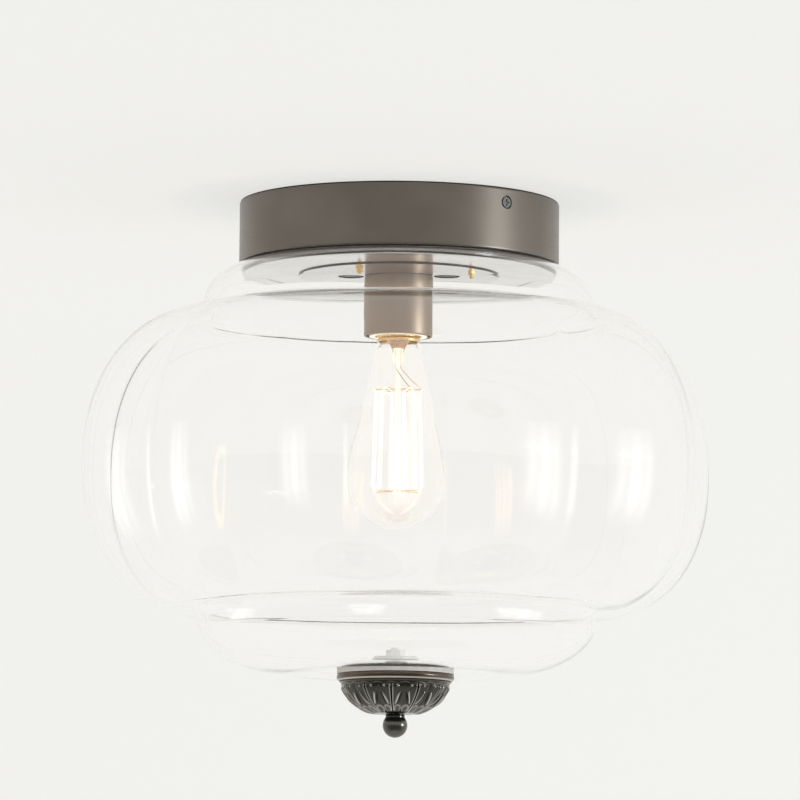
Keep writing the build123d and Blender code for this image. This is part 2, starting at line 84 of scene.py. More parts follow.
# %% Node helpers
def feed(socket, value):
    """Joins an input to another node's output, or gives it a fixed value."""
    if isinstance(value, bpy.types.NodeSocket):
        socket.id_data.links.new(value, socket)
    else:
        socket.default_value = value


def tune(node, **values):
    """Feeds a node's inputs by name; an underscore stands for a space."""
    for name, value in values.items():
        feed(node.inputs[name.replace("_", " ")], value)
    return node


def add(tree, kind, **values):
    """Adds a node and feeds its inputs."""
    return tune(tree.nodes.new("ShaderNode" + kind), **values)


def source(tree, kind, output):
    """One output of a node that needs no inputs."""
    return add(tree, kind).outputs[output]


def maths(tree, operation, *values):
    """The result of a sum on sockets or numbers."""
    made = add(tree, "Math")
    made.operation = operation
    for socket, value in zip(made.inputs, values):
        feed(socket, value)
    return made.outputs[0]


def axes(tree, vector):
    """A vector's X, Y and Z."""
    return add(tree, "SeparateXYZ", Vector=vector).outputs


def map_range(tree, value, start, end, low=0.0, high=1.0, smooth=False):
    """A number that runs from low to high while the value runs from start to end."""
    made = add(tree, "MapRange", Value=value, From_Min=start, From_Max=end, To_Min=low, To_Max=high)
    made.interpolation_type = "SMOOTHSTEP" if smooth else "LINEAR"
    return made.outputs["Result"]


def colours(tree, grey, dark, light, low=0.3, high=0.7):
    """A grey value turned into a colour between two."""
    ramp = add(tree, "ValToRGB")
    for element, place, colour in zip(ramp.color_ramp.elements, (low, high), (dark, light)):
        element.position = place
        element.color = (*colour, 1)
    feed(ramp.inputs[0], grey)
    return ramp.outputs["Color"]


def blend(tree, share, first, second):
    """A colour between two, each a colour or a socket."""
    made = add(tree, "Mix")
    made.data_type = "RGBA"
    for k, value in ((0, share), (6, first), (7, second)):
        feed(made.inputs[k], value)
    return made.outputs[2]


def mix_shaders(tree, share, first, second):
    """A shader between two."""
    made = add(tree, "MixShader")
    for socket, value in zip(made.inputs, (share, first, second)):
        feed(socket, value)
    return made.outputs[0]


print("node helpers ready")

# %% [markdown]
# ## Ceiling, wall and light
#
# The lamp needs a ceiling to hang from. One sheet makes the ceiling and the wall behind, and a wide bevel
# makes the corner between them a soft cove. A sheet that is seen from its back is clear, so that the lamp can
# also be looked at from above and from behind. Part of its paleness is its own, which keeps it even, and part
# comes from the lamps, which keeps the shadow round the canopy.

# %% Ceiling and wall
sheet_half, sheet_front, wall_y, wall_low, cove = 6, -7, 1.4, -5, 0.9
ceiling_gap, level_slack = 0.0003, 0.01
bend = [(sheet_front, ceiling_gap), (wall_y, ceiling_gap), (wall_y, wall_low)]
stage_mesh = bmesh.new()
near_end, corner, wall_foot = [stage_mesh.verts.new((-sheet_half, y, z)) for y, z in bend]
lines = [stage_mesh.edges.new((near_end, corner)), stage_mesh.edges.new((corner, wall_foot))]
grown = bmesh.ops.extrude_edge_only(stage_mesh, edges=lines)["geom"]
far_side = [g for g in grown if isinstance(g, bmesh.types.BMVert)]
bmesh.ops.translate(stage_mesh, verts=far_side, vec=(2 * sheet_half, 0, 0))
fold = [e for e in stage_mesh.edges if len(e.link_faces) == 2]
bmesh.ops.bevel(
    stage_mesh,
    geom=fold,
    offset=cove,
    segments=32,
    profile=0.5,
    affect="EDGES",
    material=-1,
    clamp_overlap=True,
)
for face in stage_mesh.faces:
    face.smooth = True
    if face.normal.z > level_slack or face.normal.y > level_slack:
        face.normal_flip()
ceiling = bpy.data.objects.new("ceiling", bpy.data.meshes.new("ceiling"))
stage_mesh.to_mesh(ceiling.data)
scene.collection.objects.link(ceiling)

plaster = bpy.data.materials.new("plaster")
plaster.use_nodes = True
tree = plaster.node_tree
tree.nodes.clear()
matt = add(tree, "BsdfDiffuse", Color=(0.36, 0.358, 0.351, 1))
own = add(tree, "Emission", Color=(0.637, 0.636, 0.616, 1))
pale = add(tree, "AddShader")
feed(pale.inputs[0], matt.outputs[0])
feed(pale.inputs[1], own.outputs[0])
clear = add(tree, "BsdfTransparent")
from_back = source(tree, "NewGeometry", "Backfacing")
add(tree, "OutputMaterial", Surface=mix_shaders(tree, from_back, pale.outputs[0], clear.outputs[0]))
ceiling.data.materials.append(plaster)
print(f"ceiling sheet of {len(ceiling.data.polygons)} faces")

# %% [markdown]
# Clear glass is only seen by what it bends: in a room that is white all round it vanishes. Between white
# fields the room therefore has a few soft grey ones. They stand where no picture's backdrop is, and the rims
# of the glass find them. Mirror rays see a room that is darker behind the camera, as a studio is, which gives
# metal its dark middle, and a pale floor, which draws a light line along every rounded lower edge.

# %% Room
room = bpy.data.worlds.new("room")
scene.world = room
room.use_nodes = True
tree = room.node_tree
tree.nodes.clear()
field_count = 8
toward = axes(tree, source(tree, "TexCoord", "Generated"))
azimuth = maths(tree, "ARCTAN2", toward["X"], toward["Y"])
wave = maths(tree, "COSINE", maths(tree, "MULTIPLY", azimuth, field_count))
fields = colours(tree, map_range(tree, wave, -1, 1), (0.77, 0.77, 0.76), (0.88, 0.875, 0.86), 0.15, 0.75)
fields.node.color_ramp.interpolation = "EASE"
depth = map_range(tree, toward["Y"], -0.75, 0.35, smooth=True)
studio = colours(tree, depth, (0.2, 0.19, 0.18), (0.9, 0.895, 0.88), 0, 1)
below = map_range(tree, toward["Z"], -0.6, -0.95, smooth=True)
mirrored = blend(tree, below, studio, (0.85, 0.84, 0.82, 1))

through = add(tree, "Background", Color=fields).outputs[0]
mirror = add(tree, "Background", Color=mirrored).outputs[0]
ambient = add(tree, "Background", Color=(1, 0.99, 0.975, 1), Strength=0.55).outputs[0]
path = add(tree, "LightPath").outputs
unseen = mix_shaders(tree, path["Is Glossy Ray"], ambient, mirror)
seen = maths(tree, "MAXIMUM", path["Is Camera Ray"], path["Transmission Depth"])
add(tree, "OutputWorld", Surface=mix_shaders(tree, seen, unseen, through))
scene.cycles.max_bounces = 64
scene.cycles.transmission_bounces = 48
scene.cycles.glossy_bounces = 48
scene.cycles.transparent_max_bounces = 32
print(f"room of {len(tree.nodes)} nodes")

# %% [markdown]
# One softbox stands right of the lamp and draws the soft streak on the canopy. Three small weak ones are there
# for the glass alone: their long white images run down its lobes. A plain area lamp is mirrored as a hard-edged
# window, so each lamp's own nodes let it fade towards its edges: Parametric runs from 0 to 1 over its face. In
# a thin bowl each lamp would be mirrored many times, on both skins of both walls. Light Path's Transmission
# Depth keeps only the outer skin's image, and upright bars, as a window has, give that image finer lines.

# %% Lamps
lamp_aim = Vector((0, 0, -0.15))
half_face, edge_fade, bar_turns, bar_shade = 0.5, 0.42, 24, 0.55


def softbox(name, place, width, height, watts, skin_only=False):
    """A lamp that faces the glass and fades at its edges; skin_only hides it behind a first layer of glass."""
    lamp = bpy.data.lights.new(name, "AREA")
    lamp.shape = "RECTANGLE"
    lamp.size = width
    lamp.size_y = height
    lamp.energy = watts
    lamp.use_nodes = True
    tree = lamp.node_tree
    face = axes(tree, source(tree, "NewGeometry", "Parametric"))
    from_edge = [maths(tree, "PINGPONG", face[axis], half_face) for axis in "XY"]
    fades = [map_range(tree, reach, 0, edge_fade, smooth=True) for reach in from_edge]
    strength = maths(tree, "MULTIPLY", *fades)
    if skin_only:
        fresh = maths(tree, "LESS_THAN", source(tree, "LightPath", "Transmission Depth"), 0.5)
        wave = maths(tree, "COSINE", maths(tree, "MULTIPLY", face["X"], bar_turns))
        for factor in (fresh, map_range(tree, wave, -1, 1, low=bar_shade)):
            strength = maths(tree, "MULTIPLY", strength, factor)
    tune(tree.nodes["Emission"], Strength=strength)
    stand = bpy.data.objects.new(name, lamp)
    scene.collection.objects.link(stand)
    stand.location = place
    stand.rotation_mode = "QUATERNION"
    stand.rotation_quaternion = (lamp_aim - stand.location).to_track_quat("-Z", "Y")
    return stand


right_box = softbox("right_box", (2.2, -0.68, -0.17), width=0.62, height=0.32, watts=44)
right_box.data.color = (0.9, 0.98, 1)
streak_lamps = [
    softbox("left_streak", (-0.8, 0.07, -0.24), width=0.4, height=0.62, watts=2.3, skin_only=True),
    softbox("front_streak", (-0.21, -0.78, -0.26), width=0.3, height=0.62, watts=2.7, skin_only=True),
    softbox("right_streak", (0.76, -0.26, -0.24), width=0.6, height=0.62, watts=5.0, skin_only=True),
]

# %% [markdown]
# ## Finishes
#
# Each finish is one Principled shader. What is even all over is set on the shader itself, and only what
# varies comes from nodes: fine turned lines, cloudy sheen, and hollows darkened by patina and painted shade,
# on the piece's own coordinates.

# %% Finish helpers
def new_finish(name, base, metallic, roughness):
    """A material with one shader: the material, its nodes and the shader."""
    made = bpy.data.materials.new(name)
    made.use_nodes = True
    shader = made.node_tree.nodes["Principled BSDF"]
    tune(shader, Base_Color=(*base, 1), Metallic=metallic, Roughness=roughness)
    return made, made.node_tree, shader


def noise_over(tree, scale, stretch=(1, 1, 1), detail=3):
    """Grey noise on Object coordinates, squeezed along its axes."""
    squeeze = add(tree, "Mapping", Vector=source(tree, "TexCoord", "Object"), Scale=stretch)
    return add(tree, "TexNoise", Vector=squeeze.outputs[0], Scale=scale, Detail=detail).outputs["Fac"]


def spread(tree, grey, low, high):
    """Turns a grey value into a number between two."""
    return map_range(tree, grey, 0.25, 0.75, low, high)


def raise_by(tree, grey, shader, height, strength=1.0):
    """Feeds a grey value to the shader as fine relief of a height in metres."""
    tune(shader, Normal=add(tree, "Bump", Height=grey, Distance=height, Strength=strength).outputs[0])


def satin_metal(name, dark, light, roughness, lines=0.00002, metallic=1.0):
    """Turned metal: fine lines round the axis, and a sheen that varies in soft clouds."""
    made, tree, shader = new_finish(name, light, metallic, roughness)
    cloud = noise_over(tree, scale=22, detail=2)
    turned = noise_over(tree, scale=40, stretch=(1, 1, 70), detail=4)
    tune(
        shader,
        Base_Color=colours(tree, cloud, dark, light),
        Roughness=spread(tree, turned, roughness - 0.05, roughness + 0.07),
    )
    raise_by(tree, turned, shader, lines, 0.35)
    return made


def uneven(name, base, metallic, roughness, scale, detail=3, tones=None, gloss=None, relief=None):
    """A finish that varies with one noise: in colour (tones), in roughness (gloss) and in height (relief)."""
    made, tree, shader = new_finish(name, base, metallic, roughness)
    grey = noise_over(tree, scale, detail=detail)
    if tones:
        tune(shader, Base_Color=colours(tree, grey, *tones))
    if gloss:
        tune(shader, Roughness=spread(tree, grey, *gloss))
    if relief:
        raise_by(tree, grey, shader, *relief)
    return made


print("finish helpers ready")

# %% Metals
sheet_lines = 0.000004
gunmetal = satin_metal("gunmetal", (0.167, 0.145, 0.126), (0.196, 0.172, 0.15), 0.34)
# Painted light: the socket cup's gunmetal, lighter and warmer, as if lit warm by the bulb.
painted_warm_gunmetal = satin_metal("painted_warm_gunmetal", (0.335, 0.255, 0.198), (0.395, 0.303, 0.238), 0.44)
pale_zinc = satin_metal("pale_zinc", (0.79, 0.785, 0.765), (0.87, 0.865, 0.845), 0.5, metallic=0.2)
# Painted reflection: near white and hardly metallic, for plating that mirrors the white room.
white_reflection_zinc = satin_metal("white_reflection_zinc", (0.9, 0.9, 0.885), (0.96, 0.96, 0.945), 0.45, metallic=0.05)
bright_zinc = satin_metal("bright_zinc", (0.665, 0.652, 0.638), (0.735, 0.722, 0.708), 0.14, sheet_lines)
screw_steel = satin_metal("screw_steel", (0.1, 0.098, 0.094), (0.16, 0.156, 0.15), 0.34)
hook_wire = satin_metal("hook_wire", (0.7, 0.58, 0.4), (0.82, 0.7, 0.5), 0.3)
metals = (gunmetal, painted_warm_gunmetal, pale_zinc, white_reflection_zinc, bright_zinc, screw_steel, hook_wire)
print("metals", [m.name for m in metals])

# %% [markdown]
# The pan and the socket plate are pressed from bright sheet, which mirrors the socket at a flat angle. The
# edges of the plate, outside and in the access holes, are painted nearly black: painted shade that draws its
# outline. The normal on Object coordinates tells edge from face: on an edge it lies level.

# %% Plate with painted shade on its edges
plate_zinc = satin_metal("plate_zinc", (0.56, 0.548, 0.536), (0.625, 0.612, 0.6), 0.14, sheet_lines)
tree = plate_zinc.node_tree
base_colour = tree.nodes["Principled BSDF"].inputs["Base Color"]
flat = maths(tree, "ABSOLUTE", axes(tree, source(tree, "TexCoord", "Normal"))["Z"])
# Painted shade: where the normal lies level, on the plate's edges, the colour turns nearly black.
feed(base_colour, blend(tree, flat, (0.05, 0.043, 0.04, 1), base_colour.links[0].from_socket))
print("plate finish", plate_zinc.name)

# %% [markdown]
# The small finishes vary with one noise each: tarnish on brass, a wavy glaze, a speckle on the black strips
# that are painted shade in gaps, and the bloom that rubber gets with age.

# %% Brass, porcelain and rubber
tarnish = ((0.72, 0.47, 0.2), (0.86, 0.63, 0.32))
glaze = ((0.8, 0.75, 0.65), (0.86, 0.83, 0.76))
gap_strip_speckle = ((0.006, 0.006, 0.006), (0.022, 0.021, 0.02))
bloom = ((0.82, 0.79, 0.74), (0.93, 0.9, 0.85))
brass = uneven("brass", (0.8, 0.56, 0.26), 1.0, 0.26, scale=160, detail=4, tones=tarnish, gloss=(0.2, 0.34))
porcelain = uneven(
    "porcelain", (0.83, 0.79, 0.7), 0.0, 0.22, scale=90, detail=2, tones=glaze, relief=(0.00008, 0.3)
)
tune(porcelain.node_tree.nodes["Principled BSDF"], Coat_Weight=0.5)
dark_insulator = uneven("dark_insulator", (0.02, 0.018, 0.02), 0.0, 0.3, scale=300, gloss=(0.24, 0.4))
solder = uneven("solder", (0.62, 0.61, 0.6), 1.0, 0.42, scale=420, gloss=(0.34, 0.52), relief=(0.0002, 0.5))
# Painted shade: a near-black finish for the strips that stand in for the shadow in the canopy's gaps.
shadow_gap_black = uneven(
    "shadow_gap_black", (0.012, 0.011, 0.011), 0.0, 0.8, scale=900, detail=2, tones=gap_strip_speckle, relief=(0.0002, 0.6)
)
pale_rubber = uneven("pale_rubber", (0.88, 0.85, 0.8), 0.0, 0.55, scale=240, tones=bloom, gloss=(0.46, 0.62))
print("small finishes", [m.name for m in (brass, porcelain, dark_insulator, solder, shadow_gap_black, pale_rubber)])

# %% [markdown]
# Glass bends the rays of the eye, but a lamp's rays would stop at it and leave everything inside dark. A Light
# Path node hands shadow rays to a clear shader instead. Blown glass is a little wavy. The waviness must stay
# very shallow: at a rim, where a ray only grazes the wall, a tilted normal traps it inside the wall and draws a
# black line. The wall also takes up a little light. That is nothing on the way through it, but a rim is looked
# at along the wall and turns a soft grey.

# %% Glass
def clear_glass(name, tint, wave, wave_scale, glow=None, ior=1.47, takes_up=0):
    """Smooth glass that lets lamplight through."""
    made, tree, shader = new_finish(name, tint, 0.0, 0.0)
    tune(shader, IOR=ior, Transmission_Weight=1.0)
    if glow:
        tune(shader, Emission_Color=(*glow[0], 1), Emission_Strength=glow[1])
    raise_by(tree, noise_over(tree, wave_scale, detail=1), shader, wave)
    lamplight = add(tree, "BsdfTransparent", Color=(0.97, 0.975, 0.97, 1))
    shadow_ray = source(tree, "LightPath", "Is Shadow Ray")
    shown = tree.nodes["Material Output"]
    tune(shown, Surface=mix_shaders(tree, shadow_ray, shader.outputs[0], lamplight.outputs[0]))
    if takes_up:
        inside = add(tree, "VolumeAbsorption", Color=(0, 0, 0, 1), Density=takes_up)
        tune(shown, Volume=inside.outputs[0])
    return made


shade_glass = clear_glass("shade_glass", (0.99, 0.987, 0.986), wave=0.0003, wave_scale=9, ior=1.45, takes_up=9)
# Painted light: the bulb's glass and its stem glow faintly of themselves, warm and cream, as if lit by the
# filament.
painted_bulb_glow, painted_stem_glow = ((1, 0.85, 0.6), 0.014), ((1, 0.88, 0.74), 0.12)
bulb_glass = clear_glass("bulb_glass", (1, 0.997, 0.99), wave=0.0004, wave_scale=20, glow=painted_bulb_glow)
stem_glass = clear_glass("stem_glass", (0.97, 0.93, 0.85), wave=0.0003, wave_scale=90, glow=painted_stem_glow, ior=1.13)
print("glasses", shade_glass.name, bulb_glass.name, stem_glass.name)

# %% [markdown]
# ## Turned pieces
#
# Most of a lamp is turned, spun or blown, so most pieces start as half a section that is spun round the axis.
# A section is a chain of points, given by radius and height in millimetres. Corners are rounded with a bevel
# on the chain's points before it is spun, which gives clean rings of faces.

# %% Spinning helpers
weld = 0.001


def chain(points, closed=False):
    """A bmesh that holds a section as joined points, each (radius, height) in millimetres."""
    made = bmesh.new()
    row = [made.verts.new((r * mm, 0, z * mm)) for r, z in points]
    for a, b in zip(row, row[1:]):
        made.edges.new((a, b))
    if closed:
        made.edges.new((row[-1], row[0]))
    made.verts.ensure_lookup_table()
    return made


def round_corners(made, corners, offset, segments=5):
    """Rounds the corners of a section that are nearest to the given (radius, height) places."""
    chosen = []
    for r, z in corners:
        spot = Vector((r * mm, 0, z * mm))
        chosen.append(min(made.verts, key=lambda v: (v.co - spot).length))
    bmesh.ops.bevel(
        made, geom=chosen, offset=offset * mm, segments=segments, profile=0.5, affect="VERTICES", material=-1
    )


def spin(made, steps):
    """Spins a section once round the lamp's axis and closes seam and poles."""
    bmesh.ops.spin(
        made,
        geom=made.verts[:] + made.edges[:],
        cent=(0, 0, 0),
        axis=(0, 0, 1),
        angle=math.tau,
        steps=steps,
        use_merge=True,
    )
    bmesh.ops.remove_doubles(made, verts=made.verts, dist=weld * mm)
    bmesh.ops.recalc_face_normals(made, faces=made.faces)


def piece(name, made, finish, body, slot, *replaced, crisp=40):
    """A piece that rides on a body and stands for CAD nodes; edges of more than crisp degrees stay sharp."""
    for face in made.faces:
        face.smooth = True
    thing = bpy.data.objects.new(name, bpy.data.meshes.new(name))
    made.to_mesh(thing.data)
    made.free()
    thing.data.set_sharp_from_angle(angle=math.radians(crisp))
    scene.collection.objects.link(thing)
    thing.data.materials.append(finish)
    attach(thing, body)
    if replaced:
        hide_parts(*replaced)
    low, high = [Vector(c) for c in (thing.bound_box[0], thing.bound_box[6])]
    print(f"{name}: {len(thing.data.polygons)} faces, {[round(x / mm, 1) for x in (*low, *high)]} mm")
    return thing


def box_mm(node):
    """Outer radius, lowest and highest height of a round CAD node, in millimetres."""
    low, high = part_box(node)
    return high.x / mm, low.z / mm, high.z / mm


print("spinning helpers ready")

# %% [markdown]
# ## Canopy
#
# The canopy is a spun drum with a turned-in ledge at its mouth. Its edges are softly broken, which draws a
# thin light line round them. A ring of points close to each broken edge keeps the wall's shading straight. The
# holes for the side screws could be cut with a Boolean, but that leaves long thin faces, and a smooth wall
# shows them as stripes. Instead a small patch of the wall makes way for a circle, and the gap between patch and
# circle is bridged. Inside, the drum is bare zinc.

# %% Canopy
canopy_r, canopy_low, ceiling_z = box_mm("canopy")
strip = 0.8
canopy_top = ceiling_z - strip
wall, ledge_r, lip_r, hold_top, hold_low = 1.2, 92.3, 95.8, 1.0, 1.6
screw_angle, screw_z, screw_hole_r, patch = math.radians(-48.8), -9.0, 4.1, 6.0
patch_top, patch_low, slack = screw_z + patch, screw_z - patch, 0.3
inner_r, bare_r = canopy_r - wall, canopy_r - wall + 0.1
drum = chain(
    [
        (inner_r, canopy_top),
        (canopy_r, canopy_top),
        (canopy_r, canopy_top - hold_top),
        (canopy_r, patch_top),
        (canopy_r, patch_low),
        (canopy_r, canopy_low + hold_low),
        (canopy_r, canopy_low),
        (lip_r, canopy_low),
        (ledge_r, canopy_low),
        (ledge_r, canopy_low + wall),
        (inner_r, canopy_low + wall),
        (inner_r, patch_low),
        (inner_r, patch_top),
    ],
    closed=True,
)
round_corners(drum, [(canopy_r, canopy_top), (ledge_r, canopy_low)], offset=0.35, segments=3)
round_corners(drum, [(canopy_r, canopy_low)], offset=0.8, segments=5)
spin(drum, steps=256)
print(f"drum of {len(drum.faces)} faces before the holes")

# %% Screw holes in the canopy
def punch(made, turn, radius):
    """Swaps a patch of a round wall for a ring of faces round a hole, and gives back the hole's edges."""
    out = Vector((math.cos(turn), math.sin(turn), 0))
    centre = out * radius * mm + Vector((0, 0, screw_z * mm))
    patched = []
    for face in made.faces:
        middle = face.calc_center_median()
        on_wall = abs(middle.xy.length - radius * mm) < slack * mm
        if on_wall and abs(middle.z - centre.z) < patch * mm and (middle - centre).xy.length < patch * mm:
            patched.append(face)
    border = [e for e in {e for f in patched for e in f.edges} if not set(e.link_faces) <= set(patched)]
    bmesh.ops.delete(made, geom=patched, context="FACES_KEEP_BOUNDARY")
    place = Matrix.Translation(centre) @ out.to_track_quat("Z", "Y").to_matrix().to_4x4()
    round_hole = bmesh.ops.create_circle(made, segments=32, radius=screw_hole_r * mm, matrix=place)["verts"]
    for point in round_hole:
        point.co.xy *= radius * mm / point.co.xy.length
    rim = list({e for p in round_hole for e in p.link_edges})
    bmesh.ops.bridge_loops(made, edges=border + rim)
    return rim


for turn in (screw_angle, screw_angle + math.pi):
    bmesh.ops.bridge_loops(drum, edges=punch(drum, turn, canopy_r) + punch(drum, turn, inner_r))
bmesh.ops.recalc_face_normals(drum, faces=drum.faces)
canopy = piece("canopy_drum", drum, gunmetal, "shade", "gunmetal", "canopy")
canopy.data.materials.append(pale_zinc)
for face in canopy.data.polygons:
    if face.center.xy.length < bare_r * mm:
        face.material_index = 1
print(f"canopy with {sum(f.material_index for f in canopy.data.polygons)} bare faces inside")

# %% [markdown]
# Two thin black strips are painted shade in the canopy's gaps: one lies between its lower edge and the
# shoulder of the glass, the other against the ceiling. Each shows as a fine black line, where the gap's shadow
# is.

# %% Black strips for the shadow in the gaps
gap_strip_width, gap_strip_round, gap_strip_clearance, gap_strip_lift = 1.4, 0.2, 0.02, 0.05
ceiling_set_in, rim_set_in = 0.4, 0.7


def shadow_gap_strip(name, low, high, outer):
    """A thin black ring between two heights: painted shade in a gap."""
    inner = outer - gap_strip_width
    ring = chain([(inner, high), (outer, high), (outer, low), (inner, low)], closed=True)
    round_corners(ring, [(outer, high), (outer, low)], offset=gap_strip_round, segments=3)
    spin(ring, steps=192)
    piece(name, ring, shadow_gap_black, "shade", "gasket")


# Painted shade along the canopy's top edge and along its lower edge.
shadow_gap_strip("ceiling_shadow_strip", canopy_top + gap_strip_clearance, ceiling_z, canopy_r - ceiling_set_in)
shadow_gap_strip("rim_shadow_strip", canopy_low - strip + gap_strip_lift, canopy_low - gap_strip_clearance, canopy_r - rim_set_in)

# %% [markdown]
# ## Glass shade
#
# The shade is blown into a mould: a neck, a round collar, a body of eight lobes and a shallow foot. The outer
# skin is one section spun round the axis at the lobes' crests. Each point of the section also carries the
# radius that it has in a crease. After the spin, every point moves in to an arc between the two, so the lobes
# fade out at the folds above and below. Solidify then gives the skin its wall, even in the folds. Only the seat
# in the middle of the floor is thicker, so that the gasket on it lies where the CAD model has it.

# %% Glass section
neck_r, bead_r, bead_top, bead_low, shoulder = 89.8, 91.8, -29.3, -33.8, -38.8
collar_top_r, collar_r, collar_bulge = 97.0, 120.0, 6.0
upper_fold, lower_fold = (117.5, -67.2), (121.5, -251.0)
lobe_r, crease_r, lobe_z = 192.9, 178.9, -163.5
upper_fullness, lower_fullness = 2.15, 2.25
foot_z, ring_r, glass_low, seat_r, seat_z, hole_r = -254.0, 66.0, -287.5, 38.0, -285.0, 5.0
lobes, lobe_angle, glass_wall, fold_share = 8, math.radians(-77.0), 1.8, 0.2
bead_slope, collar_steps, collar_left_out, crest_turn, foot_steps, foot_start = 2, 18, 4, 78, 24, 3


def quarter(fold, fullness, turns):
    """Points of the lobes' crest between a fold and the widest level, turns in degrees."""
    points = []
    for turn in turns:
        t = math.radians(turn)
        out = math.cos(t) ** (2 / fullness)
        rise = math.sin(t) ** (2 / fullness)
        points.append((fold[0] + (lobe_r - fold[0]) * out, lobe_z + (fold[1] - lobe_z) * rise))
    return points


def arch(start, end, bulge, count):
    """Points on a shallow arc from start to end, without start."""
    run = Vector(end) - Vector(start)
    out = Vector((-run.y, run.x)).normalized() * bulge
    if out.x < 0:
        out = -out
    shares = [(k + 1) / count for k in range(count)]
    return [tuple(Vector(start) + run * s + out * 4 * s * (1 - s)) for s in shares]


collar_top = (collar_top_r, shoulder)
upper_corner = (collar_r, upper_fold[1])
section = [(neck_r, bead_top), (bead_r, bead_top - bead_slope), (bead_r, bead_low), (neck_r, bead_low)]
section += [(neck_r, shoulder), collar_top]
section += arch(collar_top, upper_corner, collar_bulge, collar_steps)[:-collar_left_out] + [upper_corner]
section += quarter(upper_fold, upper_fullness, range(crest_turn, -1, -2))
section += quarter(lower_fold, lower_fullness, range(2, crest_turn + 1, 2))
section += [lower_fold]
for k in range(foot_start, foot_steps + 1):
    t = math.radians(90 * k / foot_steps)
    out, drop = (lower_fold[0] - ring_r) * math.cos(t), (glass_low - foot_z) * math.sin(t)
    section.append((ring_r + out, foot_z + drop))
section += [(seat_r, seat_z), (hole_r, seat_z)]
skin = chain(section)
round_corners(skin, [(neck_r, shoulder)], offset=0.8, segments=4)
round_corners(skin, [collar_top], offset=1.6, segments=6)
round_corners(skin, [upper_corner], offset=5.0, segments=12)
round_corners(skin, [lower_fold], offset=6.0, segments=12)
round_corners(skin, [(ring_r, glass_low), (seat_r, seat_z)], offset=1.4, segments=5)
print(f"glass section of {len(skin.verts)} points")

# %% Glass lobes
fold_fade, lobe_steps, least_lobe, seat_margin = 8.0, 32, 0.01, 2
crease_of = skin.verts.layers.float.new("crease")
for point in skin.verts:
    r, z = point.co.x / mm, point.co.z / mm
    fold = upper_fold if z > lobe_z else lower_fold
    lobed = lower_fold[1] < z < upper_fold[1]
    past = max(z - upper_fold[1], lower_fold[1] - z, 0.0) / fold_fade
    out = max(fold_share * max(0.0, 1 - past), (r - fold[0]) / (lobe_r - fold[0]) if lobed else 0.0)
    point[crease_of] = (r - (lobe_r - crease_r) * out) * mm
spin(skin, steps=lobes * lobe_steps)

half_lobe, soften, crowd = math.pi / lobes, math.radians(1.3), 0.62
for point in skin.verts:
    crest, crease = point.co.xy.length, point[crease_of]
    step = (math.atan2(point.co.y, point.co.x) - lobe_angle + half_lobe) % (2 * half_lobe) - half_lobe
    share = step / half_lobe
    turned = half_lobe * (share + crowd * math.sin(math.pi * share) / math.pi)
    angle = math.atan2(point.co.y, point.co.x) + turned - step
    r = crest
    if crest - crease > least_lobe * mm:
        middle = (crest**2 - crease**2) / (2 * (crest - crease * math.cos(half_lobe)))
        bend = crest - middle
        from_crease = half_lobe - abs(turned)
        from_crease = math.hypot(from_crease, soften * (1 - from_crease / half_lobe))
        across = half_lobe - from_crease
        r = middle * math.cos(across) + math.sqrt(bend**2 - (middle * math.sin(across)) ** 2)
    point.co.xy = (r * math.cos(angle), r * math.sin(angle))
bmesh.ops.recalc_face_normals(skin, faces=skin.faces)
bmesh.ops.solidify(skin, geom=skin.faces[:], thickness=glass_wall * mm)
bmesh.ops.recalc_face_normals(skin, faces=skin.faces)
seat_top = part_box("inner_gasket")[0].z
for point in skin.verts:
    on_seat = point.co.xy.length < (seat_r - seat_margin) * mm
    if on_seat and point.co.z > (seat_z + glass_wall / 2) * mm:
        point.co.z = seat_top
shade = piece("shade_glass", skin, shade_glass, "shade", "clear_glass", "glass_shade")

# %% [markdown]
# The streak lamps shine on the glass alone, and the softbox on all but the glass. A collection names what a
# lamp lights, and a link state turns one entry into an exception.

# %% Lamps for glass and metal
streak_catchers = bpy.data.collections.new("streak_catchers")
streak_catchers.objects.link(shade)
for lamp in streak_lamps:
    lamp.light_linking.receiver_collection = streak_catchers
metal_catchers = bpy.data.collections.new("metal_catchers")
metal_catchers.objects.link(shade)
metal_catchers.collection_objects[0].light_linking.link_state = "EXCLUDE"
right_box.light_linking.receiver_collection = metal_catchers
print(f"{len(streak_lamps)} lamps light the glass alone")

# %% [markdown]
# ## Socket
#
# Seen from below, bright metal fills the mouth from wall to wall. The pan's edge is rolled into a bead, and a
# thin flanged ring, pressed into the glass neck, laps under it and carries the surface on. The ring belongs to
# the shade and comes down with it.

# %% Pan bead and mouth ring
pan_r, pan_low = box_mm("ceiling_pan")[:2]
roll_width, roll_height, roll_round = 1.4, 2.2, 0.5
roll_out, roll_top = pan_r + roll_width, pan_low + roll_height
roll = chain([(pan_r, roll_top), (roll_out, roll_top), (roll_out, pan_low), (pan_r, pan_low)], closed=True)
round_corners(roll, [(roll_out, roll_top), (roll_out, pan_low)], offset=roll_round, segments=4)
spin(roll, steps=192)
piece("pan_bead", roll, bright_zinc, "base", "pale_zinc")

lap, lap_gap, sheet, lip_gap, lip_wall, lip_top = 1.0, 0.05, 0.3, 0.4, 0.5, -34.0
ring_in, ring_out, ring_top = pan_r - lap, 95.6, pan_low - lap_gap
lip_in = roll_out + lip_gap
mouth = chain(
    [
        (ring_in, ring_top),
        (ring_in, ring_top - sheet),
        (ring_out, ring_top - sheet),
        (ring_out, ring_top),
        (lip_in + lip_wall, ring_top),
        (lip_in + lip_wall, lip_top),
        (lip_in, lip_top),
        (lip_in, ring_top),
    ],
    closed=True,
)
spin(mouth, steps=192)
piece("mouth_ring", mouth, bright_zinc, "shade", "pale_zinc")
